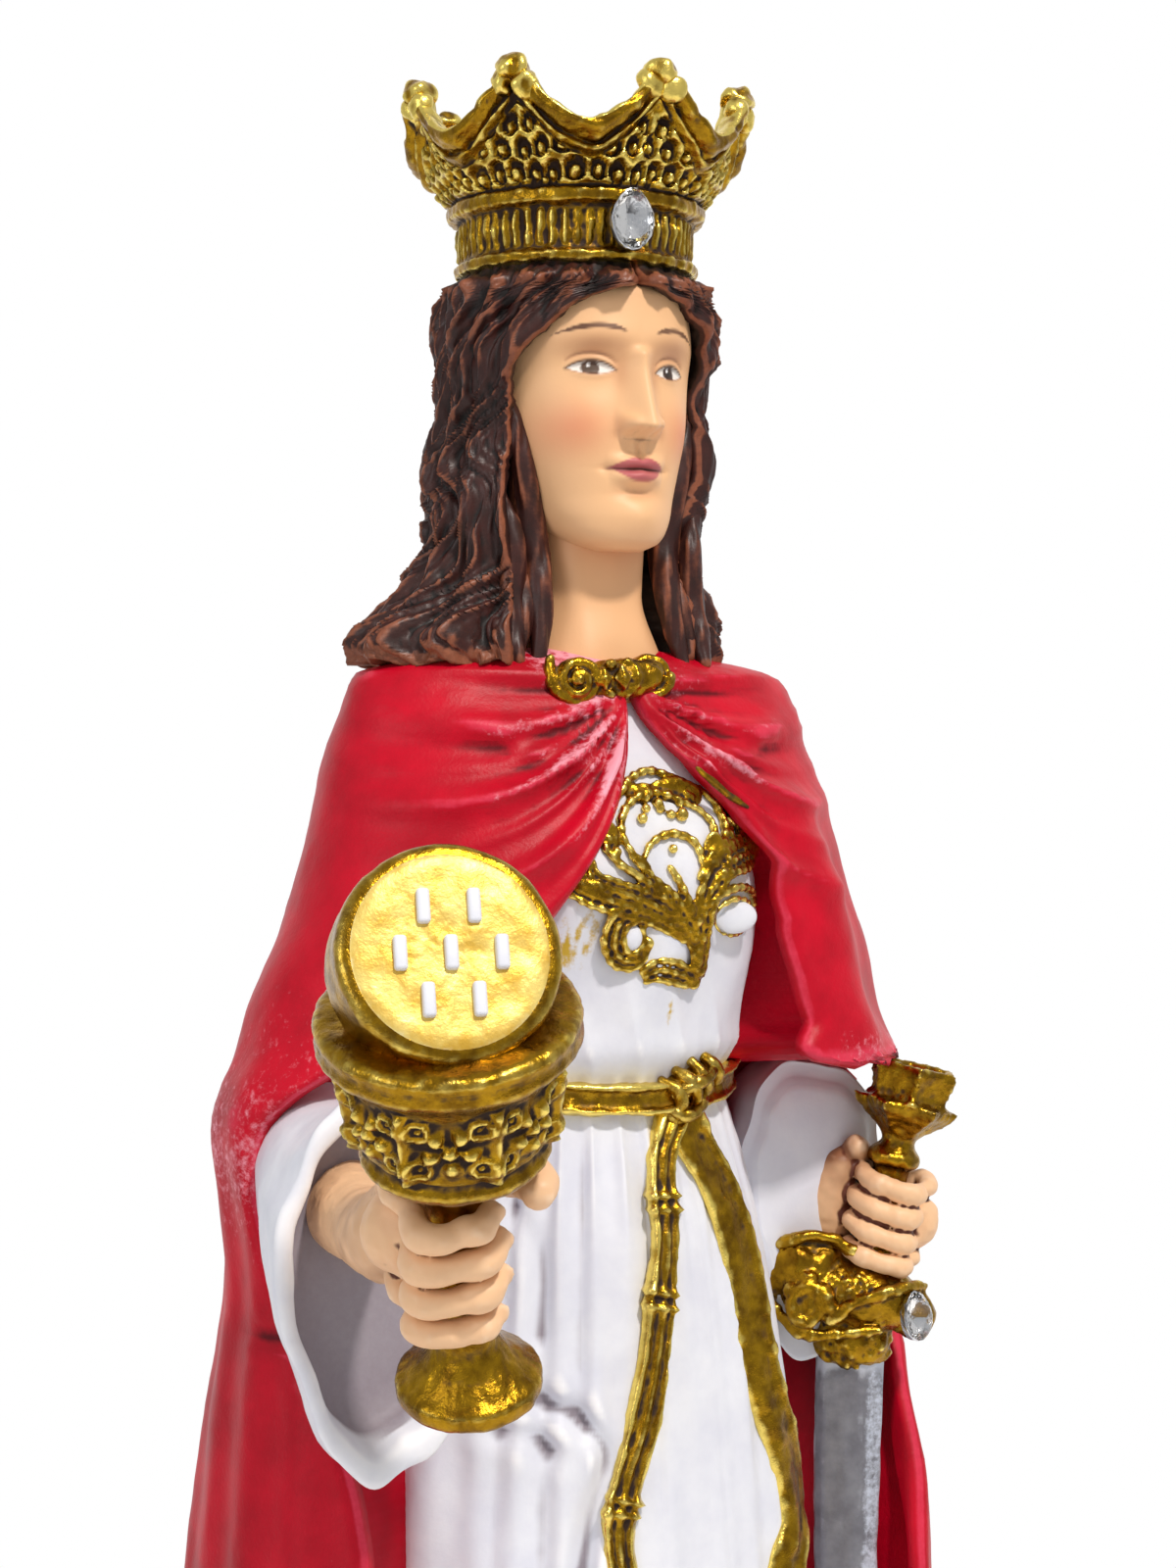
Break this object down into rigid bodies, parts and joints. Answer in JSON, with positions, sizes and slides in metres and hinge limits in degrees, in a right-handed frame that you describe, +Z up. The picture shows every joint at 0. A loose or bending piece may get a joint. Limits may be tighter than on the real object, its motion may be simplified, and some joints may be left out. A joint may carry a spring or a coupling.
{
  "type": "crowned saint statuette",
  "caption": "Painted cast-resin statuette of a crowned standing figure in a gown and cape, holding up a chalice in one hand and a sword point down in the other, on a low oval base.",
  "frame": {"origin": "centre of the base's flat underside", "axes": "+Z up along the figure, -Y the way it faces, +X towards its left hand"},
  "size_m": [0.1116, 0.1151, 0.2968],
  "materials": {
    "red_paint": "crimson acrylic paint with a satin varnish on cast resin",
    "white_paint": "off-white acrylic paint on cast resin, a little grey in the creases",
    "gold_paint": "bright gold leafing paint with a dark antique wash in the recesses",
    "flesh_paint": "light flesh paint with a soft blush",
    "brown_paint": "dark brown paint, dry brushed with copper on the hair",
    "silver_paint": "dull silver-grey metallic paint",
    "glass_stone": "clear cut glass"
  },
  "bodies": {
    "root": {"statue": "red_paint", "crown_stone": "glass_stone", "guard_stone": "glass_stone"}
  },
  "joints": []
}
